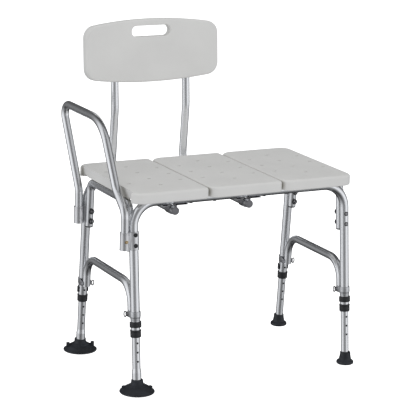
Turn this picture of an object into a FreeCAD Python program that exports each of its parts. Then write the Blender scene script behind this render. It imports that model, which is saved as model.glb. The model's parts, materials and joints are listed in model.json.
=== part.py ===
# Bath transfer bench: a three-panel seat on two bent-tube frames, with a back rest, one arm rest
# and four telescopic legs, two of them on suction cups.
import FreeCAD, Part
import math
import os
import Sketcher

Vector = FreeCAD.Vector
Rotation = FreeCAD.Rotation
Placement = FreeCAD.Placement

X_AXIS = Vector(1, 0, 0)
Y_AXIS = Vector(0, 1, 0)
Z_AXIS = Vector(0, 0, 1)

# The driving dimensions, in millimetres and degrees. The bench's own axes are: X along the seat
# from the arm rest end, Y from the front of the seat to the back rest, Z up from the floor.
DIMENSIONS = [
    # seat
    ("seat_top", 551.0),
    ("seat_depth", 400.0),
    ("panel_pitch", 224.0),
    ("panel_gap", 1.2),
    ("panel_thickness", 30.0),
    ("seat_start", -340.5),
    ("left_corner", 36.0),
    ("right_corner", 12.0),
    ("end_corner", 30.0),
    ("top_round", 7.0),
    ("bottom_round", 4.0),
    ("drain_pitch", 77.5),
    ("drain_length", 12.0),
    ("drain_width", 4.6),
    ("drain_round", 1.4),
    ("lug_length", 26.0),
    ("recess_depth", 9.0),
    ("shell_wall", 3.5),
    # legs and frames
    ("leg_span", 325.0),
    ("foot_span", 200.0),
    ("splay", 5.0),
    ("frame_tube", 25.4),
    ("wall", 1.25),
    ("frame_bend", 65.0),
    ("rail_height", 516.0),
    ("tube_bottom", 154.5),
    ("small_tube", 22.2),
    ("side_rail_height", 513.5),
    ("side_bend", 25.0),
    ("side_rail_bottom", 384.8),
    ("side_gap", 0.35),
    ("upper_bolt", 432.0),
    ("lower_bolt", 403.0),
    ("bolt_radius", 3.0),
    # leg extensions
    ("extension_tube", 22.2),
    ("extension_top", 240.0),
    ("extension_bottom", 20.0),
    ("hole_pitch", 25.4),
    ("lowest_hole", 85.8),
    ("hole_count", 6.0),
    ("hole_radius", 2.9),
    ("clip_height", 187.4),
    ("clip_width", 15.5),
    ("clip_radius", 16.2),
    ("collar_bottom", 152.0),
    ("collar_top", 172.5),
    ("collar_radius", 15.2),
    ("swage_wall", 1.9),
    ("swage_low", 54.0),
    ("swage_high", 66.0),
    # feet
    ("cup_radius", 48.2),
    ("cup_neck", 15.6),
    ("cup_top", 36.0),
    ("tip_radius", 23.2),
    ("tip_neck", 14.6),
    ("tip_top", 35.0),
    # braces between the legs
    ("brace_height", 291.5),
    ("brace_bend", 60.0),
    ("brace_bottom", 203.0),
    ("strap_height", 213.0),
    ("strap_width", 23.0),
    # arm rest
    ("arm_offset", 26.0),
    ("arm_tube", 22.2),
    ("arm_height", 715.0),
    ("arm_front", 163.2),
    ("arm_rear_foot", 155.0),
    ("web_front", 165.2),
    ("web_rear", 160.0),
    ("arm_rear", 280.0),
    ("socket_bottom", 391.4),
    ("socket_top", 440.0),
    ("arm_bottom", 394.8),
    ("arm_knee_low", 496.0),
    ("arm_knee_y", 104.0),
    ("arm_knee_high", 543.0),
    ("arm_crest_y", 3.0),
    ("arm_rear_knee", 487.0),
    ("slide_gap", 0.3),
    # back rest
    ("back_left", -212.5),
    ("back_right", 10.7),
    ("back_tube", 22.2),
    ("back_run_height", 491.7),
    ("back_front", -184.0),
    ("back_width", 412.0),
    ("back_panel_height", 180.0),
    ("back_thickness", 28.0),
    ("back_bottom", 767.0),
    ("back_tilt", 3.6),
    ("back_seat_y", 241.0),
    ("back_seat_z", 545.0),
    ("back_kink_y", 226.0),
    ("back_kink_z", 695.0),
    ("back_tube_end", 900.0),
    ("back_lower_bend", 60.0),
    ("back_kink_bend", 130.0),
    ("back_corner", 36.0),
    ("back_bow", 1250.0),
    ("back_curve", 1630.0),
    ("slot_length", 120.0),
    ("slot_height", 31.0),
]

doc = FreeCAD.newDocument("transfer_bench")
sheet = doc.addObject("Spreadsheet::Sheet", "Dimensions")
for row, (alias, number) in enumerate(DIMENSIONS, start=1):
    sheet.set("A%d" % row, alias)
    sheet.set("B%d" % row, str(number))
    sheet.setAlias("B%d" % row, alias)
doc.recompute()

PARTS = []


def dim(alias):
    """A driving dimension, read back from the sheet."""
    return float(sheet.get(alias))


def cell(alias):
    """The expression that reads a driving dimension."""
    return "Dimensions." + alias


def value(expression):
    """The number that an expression on the sheet has now."""
    result = sheet.evalExpression(expression)
    return float(getattr(result, "Value", result))


TAN_SPLAY = math.tan(math.radians(dim("splay")))


def leg_y(side_y, height):
    """The leg axis's place front to back at a height, for the front (-1) or the rear (+1)."""
    return side_y * (dim("foot_span") - height * TAN_SPLAY)


# ----------------------------------------------------------------------------------------------
# helpers
# ----------------------------------------------------------------------------------------------
def keep(shape_object, label, where=None):
    """Register a finished sub-part under its plain name and put it in place."""
    shape_object.Label = label
    if where is not None:
        shape_object.Placement = where
    PARTS.append(shape_object)
    return shape_object


def place(x, y, z, turn_x=0.0, turn_z=0.0):
    """A placement at a point of the bench, turned about its own X and then about Z."""
    turn = Rotation(Z_AXIS, turn_z).multiply(Rotation(X_AXIS, turn_x))
    return Placement(Vector(x, y, z), turn)


def body_named(label):
    return doc.addObject("PartDesign::Body", label)


def plane_of(body, role):
    return [item for item in body.Origin.OriginFeatures if item.Role == role][0]


def sketch_in(body, role, name, offset=None):
    sketch = body.newObject("Sketcher::SketchObject", name)
    sketch.AttachmentSupport = [(plane_of(body, role), "")]
    sketch.MapMode = "FlatFace"
    if offset is not None:
        sketch.AttachmentOffset = offset
    return sketch


def bind(sketch, constraint, expression):
    """Drive one sketch constraint from the sheet."""
    index = sketch.addConstraint(constraint)
    sketch.setExpression("Constraints[%d]" % index, expression)
    return index


def point_at(sketch, geometry, position, across, up):
    """Fix a point of a sketch by two expressions measured from the sketch's origin."""
    for kind, expression in (("DistanceX", across), ("DistanceY", up)):
        if abs(value(expression)) < 1e-9:
            on_axis = -2 if kind == "DistanceX" else -1
            sketch.addConstraint(Sketcher.Constraint("PointOnObject", geometry, position, on_axis))
        else:
            number = value(expression)
            bind(sketch, Sketcher.Constraint(kind, -1, 1, geometry, position, number), expression)


def circle_in(sketch, across, up, radius):
    """A circle whose centre and radius are expressions."""
    centre = Vector(value(across), value(up), 0)
    index = sketch.addGeometry(Part.Circle(centre, Z_AXIS, value(radius)), False)
    point_at(sketch, index, 3, across, up)
    bind(sketch, Sketcher.Constraint("Radius", index, value(radius)), radius)
    return index


def bent_path(sketch, corners, bends):
    """Straight runs joined by tangent arcs: corners and bends are expressions."""
    spots = [Vector(value(a), value(b), 0) for a, b in corners]
    ends = [spots[0]]
    arcs = []
    for before, corner, after, bend in zip(spots, spots[1:], spots[2:], bends):
        inward = (before - corner).normalize()
        outward = (after - corner).normalize()
        half_turn = (math.pi - inward.getAngle(outward)) / 2
        reach = value(bend) * math.tan(half_turn)
        start = corner + inward * reach
        finish = corner + outward * reach
        middle_way = (inward + outward).normalize()
        centre = corner + middle_way * (value(bend) / math.cos(half_turn))
        middle = centre - middle_way * value(bend)
        arcs.append(Part.Arc(start, middle, finish))
        ends += [start, finish]
    ends.append(spots[-1])
    lines = [Part.LineSegment(a, b) for a, b in zip(ends[0::2], ends[1::2])]
    line_ids = [sketch.addGeometry(line, False) for line in lines]
    arc_ids = [sketch.addGeometry(arc, False) for arc in arcs]
    corner_ids = [sketch.addGeometry(Part.Point(spot), True) for spot in spots]
    for index, (across, up) in zip(corner_ids, corners):
        point_at(sketch, index, 1, across, up)
    last = len(line_ids) - 1
    for number, line in enumerate(line_ids):
        for end, corner in ((1, corner_ids[number]), (2, corner_ids[number + 1])):
            at_path_end = (number == 0 and end == 1) or (number == last and end == 2)
            if at_path_end:
                sketch.addConstraint(Sketcher.Constraint("Coincident", line, end, corner, 1))
            else:
                sketch.addConstraint(Sketcher.Constraint("PointOnObject", corner, 1, line))
    for number, (arc, bend) in enumerate(zip(arc_ids, bends)):
        forward = (sketch.getPoint(arc, 1) - ends[2 * number + 1]).Length < 1e-6
        first, second = (1, 2) if forward else (2, 1)
        sketch.addConstraint(Sketcher.Constraint("Tangent", line_ids[number], 2, arc, first))
        sketch.addConstraint(Sketcher.Constraint("Tangent", arc, second, line_ids[number + 1], 1))
        bind(sketch, Sketcher.Constraint("Radius", arc, value(bend)), bend)
    return spots


def bent_tube(label, corners, bends, outer, wall="wall"):
    """A hollow tube bent in its body's XZ plane."""
    body = body_named(label)
    path = sketch_in(body, "XZ_Plane", label + "_path")
    spots = bent_path(path, corners, bends)
    run = spots[1] - spots[0]
    lean = math.degrees(math.atan2(run.x, run.y))
    start = Placement(Vector(spots[0].x, 0, spots[0].y), Rotation(Y_AXIS, lean))
    section = sketch_in(body, "XY_Plane", label + "_section", start)
    circle_in(section, "0", "0", cell(outer) + " / 2")
    circle_in(section, "0", "0", cell(outer) + " / 2 - " + cell(wall))
    doc.recompute()
    pipe = body.newObject("PartDesign::AdditivePipe", label + "_tube")
    pipe.Profile = section
    pipe.Spine = path
    doc.recompute()
    return body


def cross_holes(body, role, spots, radius, name):
    """Round holes right through a body, square to one of its planes."""
    sketch = sketch_in(body, role, name + "_sketch")
    for across, up in spots:
        circle_in(sketch, across, up, radius)
    doc.recompute()
    before = body.Shape.Volume
    pocket = body.newObject("PartDesign::Pocket", name)
    pocket.Profile = sketch
    pocket.Type = "ThroughAll"
    pocket.Midplane = True
    doc.recompute()
    if body.Shape.Volume > before - 1.0:
        raise RuntimeError(name + " cuts nothing")
    return pocket


def outline(sketch, points, closed=True):
    """Straight edges through numbered points, held as drawn."""
    pairs = list(zip(points, points[1:] + points[:1])) if closed else list(zip(points, points[1:]))
    for start, end in pairs:
        line = Part.LineSegment(Vector(start[0], start[1], 0), Vector(end[0], end[1], 0))
        index = sketch.addGeometry(line, False)
        sketch.addConstraint(Sketcher.Constraint("Block", index))


def revolved(label, points):
    """A turned piece: its outline lies in XZ and turns about Z."""
    body = body_named(label)
    profile = sketch_in(body, "XZ_Plane", label + "_profile")
    outline(profile, points)
    doc.recompute()
    turned = body.newObject("PartDesign::Revolution", label + "_turned")
    turned.Profile = profile
    turned.ReferenceAxis = (profile, ["V_Axis"])
    turned.Angle = 360.0
    doc.recompute()
    return body


def feature(label, shape, where=None):
    """A piece made straight from a shape, for groups of fasteners and odd forms."""
    item = doc.addObject("Part::Feature", label)
    item.Shape = shape
    return keep(item, label, where)


def rod(radius, length, start, direction):
    return Part.makeCylinder(radius, length, start, direction)


# ----------------------------------------------------------------------------------------------
# seat
# ----------------------------------------------------------------------------------------------
SCREW_HEAD = 4.5
SCREW_SHANK = 2.0
SCREW_RISE = 1.3


def seat_panel(label, start_x, left_rail, right_rail):
    """One blow-moulded panel: rounded edges, drain slots and channels for the rails below."""
    body = body_named(label)
    base = sketch_in(body, "XY_Plane", label + "_outline")
    width = dim("panel_pitch") - dim("panel_gap")
    depth = dim("seat_depth")
    left = dim("left_corner")
    right = dim("end_corner") if right_rail else dim("right_corner")
    half = depth / 2
    # each corner: its centre, its radius and the angle at which its quarter arc starts
    corners = [
        (Vector(width - right, -half + right, 0), right, 270),
        (Vector(width - right, half - right, 0), right, 0),
        (Vector(left, half - left, 0), left, 90),
        (Vector(left, -half + left, 0), left, 180),
    ]
    tips = []
    for centre, radius, angle in corners:
        first = math.radians(angle)
        last = math.radians(angle + 90)
        arc = Part.ArcOfCircle(Part.Circle(centre, Z_AXIS, radius), first, last)
        index = base.addGeometry(arc, False)
        base.addConstraint(Sketcher.Constraint("Block", index))
        tips.append((arc.StartPoint, arc.EndPoint))
    for (_, end), (start, _) in zip(tips, tips[1:] + tips[:1]):
        index = base.addGeometry(Part.LineSegment(end, start), False)
        base.addConstraint(Sketcher.Constraint("Block", index))
    doc.recompute()
    slab = body.newObject("PartDesign::Pad", label + "_slab")
    slab.Profile = base
    slab.setExpression("Length", cell("panel_thickness"))
    doc.recompute()
    thickness = dim("panel_thickness")
    top_edges = []
    for number, edge in enumerate(body.Shape.Edges, start=1):
        if edge.BoundBox.ZMin > thickness - 0.01:
            top_edges.append("Edge%d" % number)
    rounded = body.newObject("PartDesign::Fillet", label + "_round")
    rounded.Base = (slab, top_edges)
    rounded.setExpression("Radius", cell("top_round"))
    doc.recompute()
    bottom_edges = []
    for number, edge in enumerate(body.Shape.Edges, start=1):
        if edge.BoundBox.ZMax < 0.01:
            bottom_edges.append("Edge%d" % number)
    softened = body.newObject("PartDesign::Fillet", label + "_soften")
    softened.Base = (rounded, bottom_edges)
    softened.setExpression("Radius", cell("bottom_round"))
    doc.recompute()

    # the rails lie in channels moulded in the underside
    rail_room = dim("frame_tube") / 2 + 0.5
    channels = sketch_in(body, "XY_Plane", label + "_channel_sketch")
    rail_y = leg_y(1, dim("rail_height"))
    for side_y in (-1, 1):
        low = side_y * rail_y - rail_room
        high = side_y * rail_y + rail_room
        outline(channels, [(-1, low), (width + 1, low), (width + 1, high), (-1, high)])
    doc.recompute()
    before = body.Shape.Volume
    groove = body.newObject("PartDesign::Pocket", label + "_channels")
    groove.Profile = channels
    groove.Reversed = True
    groove.Length = dim("rail_height") + dim("frame_tube") / 2 + 0.3 - (dim("seat_top") - thickness)
    doc.recompute()
    if body.Shape.Volume > before - 1.0:
        raise RuntimeError("the rail channels cut nothing")

    # the end panels also clear the side rail that runs front to back
    side_room = dim("small_tube") / 2 + 0.5
    side_depth = dim("side_rail_height") + dim("small_tube") / 2 + 0.4 - (dim("seat_top") - thickness)
    for wanted, rail_x in ((left_rail, -dim("leg_span")), (right_rail, dim("leg_span"))):
        if not wanted:
            continue
        low = rail_x - start_x - side_room
        high = min(rail_x - start_x + side_room, width + 2)
        side = sketch_in(body, "XY_Plane", label + "_side_channel_sketch")
        reach = rail_y - rail_room + 0.5
        outline(side, [(low, -reach), (high, -reach), (high, reach), (low, reach)])
        doc.recompute()
        before = body.Shape.Volume
        pocket = body.newObject("PartDesign::Pocket", label + "_side_channel")
        pocket.Profile = side
        pocket.Reversed = True
        pocket.Length = side_depth
        doc.recompute()
        if body.Shape.Volume > before - 1.0:
            raise RuntimeError("the side channel cuts nothing")

    # the arm rest passes a recess in the outer side of the end panel, between two lugs
    if left_rail:
        recess = sketch_in(body, "XY_Plane", label + "_recess_sketch")
        reach = half - dim("lug_length")
        depth_in = dim("recess_depth")
        outline(recess, [(-1, -reach), (depth_in, -reach), (depth_in, reach), (-1, reach)])
        doc.recompute()
        before = body.Shape.Volume
        bay = body.newObject("PartDesign::Pocket", label + "_recess")
        bay.Profile = recess
        bay.Type = "ThroughAll"
        bay.Midplane = True
        doc.recompute()
        if body.Shape.Volume > before - 1.0:
            raise RuntimeError("the recess cuts nothing")

    # drain slots: two outer columns of three and a middle column of four, half a pitch apart
    pitch = dim("drain_pitch")
    slot_radius = dim("drain_width") / 2
    straight = dim("drain_length") / 2 - slot_radius
    column_x = [dim("panel_pitch") / 2 + 3.0 + column * pitch for column in (-1, 0, 1)]

    # the moulding is hollow between the columns of drain slots
    wall = dim("shell_wall")
    cell_floor = 2 * wall
    cell_height = thickness - cell_floor - wall
    inner_half = rail_y - rail_room - wall
    outer_low = rail_y + rail_room + wall
    outer_high = half - 2 * wall
    left_wall = wall + (dim("recess_depth") if left_rail else 0.0)
    stops = [left_wall] + column_x + [width - wall]
    drain_room = dim("drain_length") / 2 + wall
    above_floor = Placement(Vector(0, 0, cell_floor), Rotation())
    hollows = sketch_in(body, "XY_Plane", label + "_hollow_sketch", above_floor)
    for number, (low, high) in enumerate(zip(stops, stops[1:])):
        low += drain_room if number > 0 else 0.0
        high -= drain_room if number < len(stops) - 2 else 0.0
        outline(hollows, [(low, -inner_half), (high, -inner_half), (high, inner_half), (low, inner_half)])
    low = left + wall
    high = width - right - wall
    for side_y in (-1, 1):
        near = side_y * outer_low
        far = side_y * outer_high
        outline(hollows, [(low, near), (high, near), (high, far), (low, far)])
    doc.recompute()
    before = body.Shape.Volume
    hollow = body.newObject("PartDesign::Pocket", label + "_hollow")
    hollow.Profile = hollows
    hollow.Reversed = True
    hollow.Length = cell_height
    doc.recompute()
    if body.Shape.Volume > before - 1.0:
        raise RuntimeError("the hollow cuts nothing")

    drains = sketch_in(body, "XY_Plane", label + "_drain_sketch")
    rows = [(-1, 0, 1), (-1.5, -0.5, 0.5, 1.5), (-1, 0, 1)]
    for x, steps in zip(column_x, rows):
        for step in steps:
            y = step * pitch
            for side, start in ((1, -90), (-1, 90)):
                centre = Vector(x + side * straight, y, 0)
                circle = Part.Circle(centre, Z_AXIS, slot_radius)
                arc = Part.ArcOfCircle(circle, math.radians(start), math.radians(start + 180))
                index = drains.addGeometry(arc, False)
                drains.addConstraint(Sketcher.Constraint("Block", index))
                edge = Part.LineSegment(
                    Vector(x - side * straight, y - side * slot_radius, 0),
                    Vector(x + side * straight, y - side * slot_radius, 0),
                )
                index = drains.addGeometry(edge, False)
                drains.addConstraint(Sketcher.Constraint("Block", index))
    doc.recompute()
    before = body.Shape.Volume
    drain = body.newObject("PartDesign::Pocket", label + "_drains")
    drain.Profile = drains
    drain.Type = "ThroughAll"
    drain.Midplane = True
    doc.recompute()
    if body.Shape.Volume > before - 1.0:
        raise RuntimeError("the drain slots cut nothing")
    rims = []
    for number, edge in enumerate(body.Shape.Edges, start=1):
        box = edge.BoundBox
        on_top = box.ZMin > thickness - 0.01
        small = max(box.XLength, box.YLength) < dim("drain_length")
        inside = box.YMax < half - 30.0 and box.YMin > 30.0 - half
        if on_top and small and inside and box.XMin > 30.0 and box.XMax < width - 20.0:
            rims.append("Edge%d" % number)
    mouths = body.newObject("PartDesign::Fillet", label + "_drain_mouths")
    mouths.Base = (drain, rims)
    mouths.setExpression("Radius", cell("drain_round"))
    doc.recompute()
    return keep(body, label, place(start_x, 0, dim("seat_top") - thickness))


def make_seat():
    labels = ("seat_panel_left", "seat_panel_middle", "seat_panel_right")
    for number, label in enumerate(labels):
        start_x = dim("seat_start") + number * dim("panel_pitch")
        seat_panel(label, start_x, number == 0, number == 2)
    # pan-head screws from below, through the rails into each panel
    screws = []
    rail_y = leg_y(1, dim("rail_height"))
    below = dim("rail_height") - dim("frame_tube") / 2
    for number in range(3):
        for across in (0.16, 0.84):
            x = dim("seat_start") + (number + across) * dim("panel_pitch")
            for side_y in (-1, 1):
                spot = Vector(x, side_y * rail_y, below)
                head = rod(SCREW_HEAD, SCREW_RISE, spot - Vector(0, 0, SCREW_RISE), Z_AXIS)
                shank = rod(SCREW_SHANK, dim("frame_tube") + 14.0, spot, Z_AXIS)
                screws.append(head.fuse(shank))
    feature("seat_screws", Part.makeCompound(screws))


# ----------------------------------------------------------------------------------------------
# frames
# ----------------------------------------------------------------------------------------------
COS_SPLAY = math.cos(math.radians(dim("splay")))


def slanted(expression):
    """A height of the bench, measured along a splayed leg."""
    return "(" + expression + ") / cos(Dimensions.splay * 1deg)"


def make_frames():
    """The front and the rear frame: each is one tube, leg, rail and leg."""
    span = cell("leg_span")
    low = slanted(cell("tube_bottom"))
    top = slanted(cell("rail_height"))
    corners = [("-" + span, low), ("-" + span, top), (span, top), (span, low)]
    bends = [cell("frame_bend")] * 2
    for label, side_y in (("front_frame", -1), ("rear_frame", 1)):
        body = bent_tube(label, corners, bends, "frame_tube")
        spots = []
        for side in ("-", ""):
            for bolt in ("upper_bolt", "lower_bolt"):
                spots.append((side + span, slanted(cell(bolt))))
        cross_holes(body, "XZ_Plane", spots, cell("bolt_radius") + " + 0.05", label + "_bolt_holes")
        spots = [(side + span, slanted(cell("clip_height"))) for side in ("-", "")]
        cross_holes(body, "XZ_Plane", spots, cell("hole_radius") + " + 0.4", label + "_pin_holes")
        keep(body, label, place(0, side_y * dim("foot_span"), 0, side_y * dim("splay")))


def inner_offset():
    """How far inside the leg axis a tube beside it runs, front to back."""
    return (dim("frame_tube") + dim("small_tube")) / 2 + dim("side_gap")


def inner_run(height):
    """Where a tube beside the legs runs at a height, measured from the middle."""
    return "(Dimensions.foot_span - (%s) * tan(Dimensions.splay * 1deg) - %.3f)" % (
        height,
        inner_offset() / COS_SPLAY,
    )


def make_side_rails():
    """Two bridges between the frames: their short ends are bolted inside the legs."""
    low = inner_run(cell("side_rail_bottom"))
    high = inner_run(cell("side_rail_height"))
    corners = [
        ("-" + low, cell("side_rail_bottom")),
        ("-" + high, cell("side_rail_height")),
        (high, cell("side_rail_height")),
        (low, cell("side_rail_bottom")),
    ]
    bends = [cell("side_bend")] * 2
    for label, side_x in (("side_rail_left", -1), ("side_rail_right", 1)):
        body = bent_tube(label, corners, bends, "small_tube")
        keep(body, label, place(side_x * dim("leg_span"), 0, 0, 0, 90))


def make_braces():
    """Two arched stays between the front and the rear leg of each end."""
    low = inner_run(cell("brace_bottom"))
    high = inner_run(cell("brace_height"))
    corners = [
        ("-" + low, cell("brace_bottom")),
        ("-" + high, cell("brace_height")),
        (high, cell("brace_height")),
        (low, cell("brace_bottom")),
    ]
    bends = [cell("brace_bend")] * 2
    for label, side_x in (("brace_left", -1), ("brace_right", 1)):
        body = bent_tube(label, corners, bends, "small_tube")
        keep(body, label, place(side_x * dim("leg_span"), 0, 0, 0, 90))


def leg_frame(side_x, side_y, height=0.0):
    """A placement on a leg axis at a height, with its Z along the leg."""
    spot = Vector(side_x * dim("leg_span"), leg_y(side_y, height), height)
    return Placement(spot, Rotation(X_AXIS, side_y * dim("splay")))


def make_fasteners():
    """Bolts through leg, bracket and side rail, with round nuts on the inner side."""
    bolts = []
    nuts = []
    tube = dim("frame_tube") / 2
    inner_reach = inner_offset() + dim("small_tube") / 2
    for side_x in (-1, 1):
        bracket = 2.0 if side_x < 0 else 0.0
        for side_y in (-1, 1):
            outward = Vector(0, side_y, 0)
            for bolt in ("upper_bolt", "lower_bolt"):
                face = outward * (tube + bracket)
                head = rod(4.9, 3.0, face + outward * 0.1, outward)
                collar = rod(4.2, 0.4, face + outward * 3.1, outward)
                shank_length = tube + bracket + inner_reach + 3.0
                shank = rod(dim("bolt_radius"), shank_length, face + outward * 0.1, -outward)
                bolt_shape = head.fuse([collar, shank])
                flange = rod(8.0, 4.6, -outward * (inner_reach + 0.1), -outward)
                boss = rod(5.0, 3.0, -outward * (inner_reach + 4.7), -outward)
                nut = flange.fuse(boss)
                nut = nut.cut(rod(dim("bolt_radius") + 0.05, 3.2, -outward * inner_reach, -outward))
                where = leg_frame(side_x, side_y, dim(bolt))
                for piece, group in ((bolt_shape, bolts), (nut, nuts)):
                    piece.Placement = where
                    group.append(piece)
    feature("rail_bolts", Part.makeCompound(bolts))
    feature("rail_nuts", Part.makeCompound(nuts))


def drill_side_rails():
    """The bolts cross both ends of the side rails."""
    for item in PARTS:
        if not item.Label.startswith("side_rail"):
            continue
        for side_y in (-1, 1):
            for bolt in ("upper_bolt", "lower_bolt"):
                height = dim(bolt)
                turn = Rotation(Y_AXIS, -side_y * dim("splay"))
                spot = Vector(leg_y(side_y, height), 0, height)
                name = "%s_%s_%s" % (item.Label, bolt, "front" if side_y < 0 else "rear")
                offset = Placement(spot, turn.multiply(Rotation(Y_AXIS, 90)))
                sketch = sketch_in(item, "XY_Plane", name + "_sketch", offset)
                circle_in(sketch, "0", "0", cell("bolt_radius") + " + 0.05")
                doc.recompute()
                before = item.Shape.Volume
                pocket = item.newObject("PartDesign::Pocket", name)
                pocket.Profile = sketch
                pocket.Midplane = True
                pocket.Length = 100.0
                doc.recompute()
                if item.Shape.Volume > before - 1.0:
                    raise RuntimeError(name + " cuts nothing")


# ----------------------------------------------------------------------------------------------
# telescopic legs
# ----------------------------------------------------------------------------------------------
LEGS = [
    ("front_left", -1, -1),
    ("front_right", 1, -1),
    ("rear_left", -1, 1),
    ("rear_right", 1, 1),
]


def leg_extension(label, side_x, side_y):
    """The inner tube of a leg, drilled front to back every inch."""
    body = body_named(label)
    section = sketch_in(body, "XY_Plane", label + "_section")
    circle_in(section, "0", "0", cell("extension_tube") + " / 2")
    circle_in(section, "0", "0", cell("extension_tube") + " / 2 - " + cell("wall"))
    section.AttachmentOffset = Placement(Vector(0, 0, dim("extension_bottom")), Rotation())
    section.setExpression("AttachmentOffset.Base.z", slanted(cell("extension_bottom")))
    doc.recompute()
    tube = body.newObject("PartDesign::Pad", label + "_tube")
    tube.Profile = section
    tube.setExpression("Length", slanted(cell("extension_top") + " - " + cell("extension_bottom")))
    doc.recompute()
    hole_spots = []
    for number in range(int(dim("hole_count"))):
        height = "%s + %d * %s" % (cell("lowest_hole"), number, cell("hole_pitch"))
        hole_spots.append(("0", slanted(height)))
    cross_holes(body, "XZ_Plane", hole_spots, cell("hole_radius"), label + "_holes")
    if side_x < 0:
        # the tube is swaged out where the suction cup grips it
        swage = sketch_in(body, "XZ_Plane", label + "_swage_sketch")
        outside = dim("extension_tube") / 2
        swollen = outside + dim("swage_wall")
        inside = outside - dim("wall") / 3
        base = dim("extension_bottom") / COS_SPLAY
        high = dim("swage_high")
        profile = [
            (inside, base),
            (swollen, base),
            (swollen, dim("swage_low")),
            (outside + 0.02, high),
            (inside, high),
        ]
        outline(swage, profile)
        doc.recompute()
        sleeve = body.newObject("PartDesign::Revolution", label + "_swage")
        sleeve.Profile = swage
        sleeve.ReferenceAxis = (swage, ["V_Axis"])
        sleeve.Angle = 360.0
        doc.recompute()
    return keep(body, label, leg_frame(side_x, side_y))


def height_clip(label, side_x, side_y):
    """A U-shaped clip with a stub pin that locks the leg's height."""
    outer = dim("clip_radius")
    inner = dim("frame_tube") / 2 + dim("slide_gap")
    width = dim("clip_width")
    arm = 4.0
    back = rod(outer, width, Vector(0, 0, 0), Z_AXIS)
    flanks = Part.makeBox(2 * outer, arm, width, Vector(-outer, 0, 0))
    half_space = Part.makeBox(2 * outer, outer, width, Vector(-outer, -outer, 0))
    shell = back.common(half_space).fuse(flanks)
    shell = shell.cut(rod(inner, width, Vector(0, 0, 0), Z_AXIS))
    shell = shell.cut(Part.makeBox(2 * inner, arm + 1, width, Vector(-inner, 0, 0)))
    shell = shell.removeSplitter()
    pin_start = Vector(0, -inner - 0.5, width / 2)
    reach = inner + 0.5 - dim("extension_tube") / 2 - dim("slide_gap")
    pin = rod(dim("hole_radius"), reach, pin_start, Y_AXIS)
    boss = rod(4.6, 1.5, Vector(0, -outer - 0.6, width / 2), Y_AXIS)
    clip = shell.fuse([pin, boss])
    turn = Rotation(Z_AXIS, 0 if side_y < 0 else 180)
    base = leg_frame(side_x, side_y, dim("clip_height"))
    half = Placement(Vector(0, 0, -width / 2), Rotation())
    feature(label, clip, base.multiply(Placement(Vector(0, 0, 0), turn)).multiply(half))


def leg_collar(label, side_x, side_y):
    """A plastic bush on the lower end of the outer tube, which guides the extension."""
    outer = dim("collar_radius")
    tube = dim("frame_tube") / 2
    inner = dim("extension_tube") / 2 + 0.3
    low = dim("collar_bottom") / COS_SPLAY
    high = dim("collar_top") / COS_SPLAY
    end = dim("tube_bottom") / COS_SPLAY
    profile = [
        (inner, low),
        (outer - 0.8, low),
        (outer - 0.3, low + 1.0),
        (outer - 0.3, high - 5.5),
        (outer, high - 4.0),
        (outer, high - 0.8),
        (outer - 0.6, high),
        (tube + 0.05, high),
        (tube + 0.05, end - 0.05),
        (inner, end - 0.05),
    ]
    body = revolved(label, profile)
    return keep(body, label, leg_frame(side_x, side_y))


def suction_cup(label, side_y):
    """A broad rubber suction cup with two pull tabs and a tilted socket for the leg."""
    rim = dim("cup_radius")
    neck = dim("cup_neck")
    top = dim("cup_top")
    profile = [
        (0.0, 14.0),
        (16.0, 12.5),
        (30.0, 8.5),
        (40.0, 3.0),
        (43.5, 0.0),
        (rim - 1.5, 0.0),
        (rim, 2.5),
        (rim - 0.6, 5.0),
        (rim - 5.0, 10.5),
        (rim - 13.0, 16.5),
        (neck + 8.0, 20.5),
        (neck + 2.4, 23.5),
        (neck + 0.6, 28.0),
        (neck, top - 1.0),
        (neck - 1.0, top),
        (0.0, top),
    ]
    body = revolved(label, profile)
    # two upright tabs, pulled to let the air in
    tab_turn = math.radians(-12)
    tabs = sketch_in(body, "XY_Plane", label + "_tab_sketch", Placement(Vector(0, 0, 7.0), Rotation()))
    for side in (-1, 1):
        centre = Vector(side * 35.0 * math.cos(tab_turn), side * 35.0 * math.sin(tab_turn), 0)
        along = Vector(math.cos(tab_turn), math.sin(tab_turn), 0)
        across = Vector(-along.y, along.x, 0)
        corners = []
        for a, b in ((-5.5, -6.0), (5.5, -6.0), (5.5, 6.0), (-5.5, 6.0)):
            spot = centre + along * a + across * b
            corners.append((spot.x, spot.y))
        outline(tabs, corners)
    doc.recompute()
    tab = body.newObject("PartDesign::Pad", label + "_tabs")
    tab.Profile = tabs
    tab.Length = 17.0
    doc.recompute()
    socket_in(body, label, side_y, dim("extension_tube") / 2 + dim("swage_wall") + 0.02)
    return keep(body, label, place(-dim("leg_span"), side_y * dim("foot_span"), 0))


def rubber_tip(label, side_y):
    """A flared rubber ferrule on a plain leg."""
    rim = dim("tip_radius")
    neck = dim("tip_neck")
    top = dim("tip_top")
    profile = [
        (0.0, 0.0),
        (rim - 2.0, 0.0),
        (rim - 0.4, 1.4),
        (rim, 4.0),
        (rim - 0.5, 7.0),
        (rim - 2.6, 9.2),
        (neck + 3.4, 11.0),
        (neck + 2.4, 14.0),
        (neck + 0.5, top - 1.6),
        (neck - 0.8, top),
        (0.0, top),
    ]
    body = revolved(label, profile)
    socket_in(body, label, side_y, dim("extension_tube") / 2 + 0.02)
    return keep(body, label, place(dim("leg_span"), side_y * dim("foot_span"), 0))


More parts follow.
